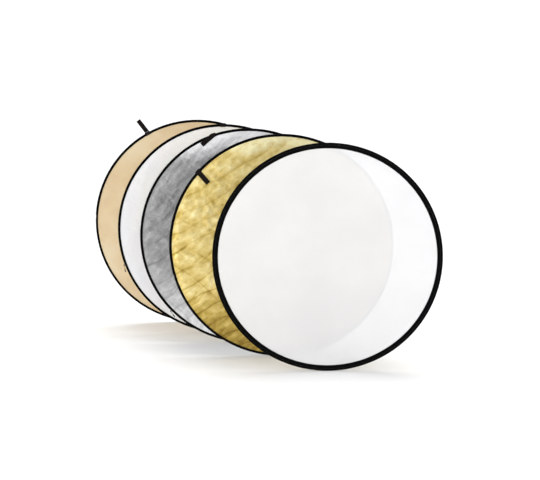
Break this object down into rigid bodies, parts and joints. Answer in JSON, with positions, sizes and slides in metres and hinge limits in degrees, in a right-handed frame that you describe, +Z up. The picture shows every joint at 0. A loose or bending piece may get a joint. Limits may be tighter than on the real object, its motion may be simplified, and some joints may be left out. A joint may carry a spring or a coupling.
{
  "type": "collapsible reflector disc",
  "caption": "Row of round cloth light reflectors on sprung steel hoops, standing on edge: a translucent diffuser, then zipped covers in gold, silver, white and peach.",
  "frame": {"origin": "on the floor, under the middle of the whole row of discs", "axes": "+X to the right and +Z up, seen from in front of the diffuser; the faces look along -Y and the row goes back along +Y and -X"},
  "size_m": [1.7525, 1.2403, 1.1042],
  "materials": {
    "diffuser_cloth": "thin translucent white nylon, matte",
    "gold_cloth": "metallic gold coated cloth, finely creased, semi-gloss",
    "silver_cloth": "metallic silver coated cloth, finely creased, semi-gloss",
    "white_cloth": "white coated cloth, faintly creased, satin",
    "peach_cloth": "peach cloth, matte",
    "black_binding": "black polyester binding tape, matte",
    "zip_tape": "black zip tape with coil teeth",
    "webbing": "black woven webbing",
    "spring_steel": "blued spring steel",
    "slider_metal": "black lacquered die-casting",
    "zip_metal": "bright nickel plate",
    "grip_rubber": "black moulded grip, matte"
  },
  "bodies": {
    "diffuser_disc": {"diffuser_fabric": "diffuser_cloth", "diffuser_hoop": "spring_steel", "diffuser_hoop_sleeve": "spring_steel", "diffuser_rim_binding": "black_binding"},
    "gold_disc": {"gold_front_panel": "gold_cloth", "gold_back_panel": "silver_cloth", "gold_hoop": "spring_steel", "gold_hoop_sleeve": "spring_steel", "gold_rim_binding": "black_binding", "gold_zip_front_tape": "zip_tape", "gold_zip_back_tape": "zip_tape", "gold_zip_stops": "zip_metal", "gold_tab_root": "webbing"},
    "gold_slider": {"gold_zip_slider": "slider_metal"},
    "gold_puller": {"gold_puller_link": "zip_metal", "gold_puller_grip": "grip_rubber"},
    "gold_strap": {"gold_tab_strap": "webbing"},
    "silver_disc": {"silver_front_panel": "silver_cloth", "silver_back_panel": "gold_cloth", "silver_hoop": "spring_steel", "silver_hoop_sleeve": "spring_steel", "silver_rim_binding": "black_binding", "silver_zip_front_tape": "zip_tape", "silver_zip_back_tape": "zip_tape", "silver_zip_stops": "zip_metal", "silver_tab_root": "webbing"},
    "silver_slider": {"silver_zip_slider": "slider_metal"},
    "silver_puller": {"silver_puller_link": "zip_metal", "silver_puller_grip": "grip_rubber"},
    "silver_strap": {"silver_tab_strap": "webbing"},
    "white_disc": {"white_front_panel": "white_cloth", "white_back_panel": "peach_cloth", "white_hoop": "spring_steel", "white_hoop_sleeve": "spring_steel", "white_rim_binding": "black_binding", "white_zip_front_tape": "zip_tape", "white_zip_back_tape": "zip_tape", "white_zip_stops": "zip_metal", "white_tab_root": "webbing"},
    "white_slider": {"white_zip_slider": "slider_metal"},
    "white_puller": {"white_puller_link": "zip_metal", "white_puller_grip": "grip_rubber"},
    "white_strap": {"white_tab_strap": "webbing"},
    "peach_disc": {"peach_front_panel": "peach_cloth", "peach_back_panel": "white_cloth", "peach_hoop": "spring_steel", "peach_hoop_sleeve": "spring_steel", "peach_rim_binding": "black_binding", "peach_zip_front_tape": "zip_tape", "peach_zip_back_tape": "zip_tape", "peach_zip_stops": "zip_metal", "peach_tab_root": "webbing"},
    "peach_slider": {"peach_zip_slider": "slider_metal"},
    "peach_puller": {"peach_puller_link": "zip_metal", "peach_puller_grip": "grip_rubber"},
    "peach_strap": {"peach_tab_strap": "webbing"}
  },
  "joints": [
    {"name": "gold_disc_slide", "type": "slide", "parent": "diffuser_disc", "child": "gold_disc", "axis": [0.565, -0.8251, 0], "range_m": [0, 0.38055]},
    {"name": "gold_zip_run", "type": "hinge", "parent": "gold_disc", "child": "gold_slider", "pos_m": [0.1178, -0.27515, 0.5491], "axis": [0, 1, 0], "range_deg": [0, 190]},
    {"name": "gold_puller_swing", "type": "hinge", "parent": "gold_slider", "child": "gold_puller", "pos_m": [0.61555, -0.27515, 0.79187], "axis": [0, -1, 0], "range_deg": [-8, 167]},
    {"name": "gold_strap_fold", "type": "hinge", "parent": "gold_disc", "child": "gold_strap", "pos_m": [-0.28796, -0.28285, 0.91445], "axis": [-0.7071, 0, -0.7071], "range_deg": [0, 170], "stiffness_Nm_per_rad": 0.02},
    {"name": "silver_disc_slide", "type": "slide", "parent": "gold_disc", "child": "silver_disc", "axis": [0.4832, -0.8755, 0], "range_m": [0, 0.34151]},
    {"name": "silver_zip_run", "type": "hinge", "parent": "silver_disc", "child": "silver_slider", "pos_m": [-0.0472, 0.04985, 0.5491], "axis": [0, -1, 0], "range_deg": [0, 190]},
    {"name": "silver_puller_swing", "type": "hinge", "parent": "silver_slider", "child": "silver_puller", "pos_m": [-0.44557, 0.04985, 0.1644], "axis": [0, 1, 0], "range_deg": [-8, 167]},
    {"name": "silver_strap_fold", "type": "hinge", "parent": "silver_disc", "child": "silver_strap", "pos_m": [-0.22496, 0.04215, 1.06535], "axis": [-0.9659, 0, 0.2588], "range_deg": [0, 170], "stiffness_Nm_per_rad": 0.02},
    {"name": "white_disc_slide", "type": "slide", "parent": "silver_disc", "child": "white_disc", "axis": [0.4841, -0.875, 0], "range_m": [0, 0.27886]},
    {"name": "white_zip_run", "type": "hinge", "parent": "white_disc", "child": "white_slider", "pos_m": [-0.1822, 0.31985, 0.5491], "axis": [0, -1, 0], "range_deg": [0, 190]},
    {"name": "white_puller_swing", "type": "hinge", "parent": "white_slider", "child": "white_puller", "pos_m": [-0.7026, 0.31985, 0.35969], "axis": [0, 1, 0], "range_deg": [-8, 167]},
    {"name": "white_strap_fold", "type": "hinge", "parent": "white_disc", "child": "white_strap", "pos_m": [-0.1822, 0.32755, 1.0951], "axis": [0.999, 0, -0.0436], "range_deg": [0, 170], "stiffness_Nm_per_rad": 0.02},
    {"name": "peach_disc_slide", "type": "slide", "parent": "white_disc", "child": "peach_disc", "axis": [0.4745, -0.8803, 0], "range_m": [0, 0.30559]},
    {"name": "peach_zip_run", "type": "hinge", "parent": "peach_disc", "child": "peach_slider", "pos_m": [-0.3272, 0.61485, 0.5491], "axis": [0, 1, 0], "range_deg": [0, 190]},
    {"name": "peach_puller_swing", "type": "hinge", "parent": "peach_slider", "child": "peach_puller", "pos_m": [0.22247, 0.61485, 0.61659], "axis": [0, -1, 0], "range_deg": [-8, 167]},
    {"name": "peach_strap_fold", "type": "hinge", "parent": "peach_disc", "child": "peach_strap", "pos_m": [-0.59709, 0.61485, 1.036], "axis": [-0.8746, 0, -0.4848], "range_deg": [-85, 85], "stiffness_Nm_per_rad": 0.02}
  ]
}
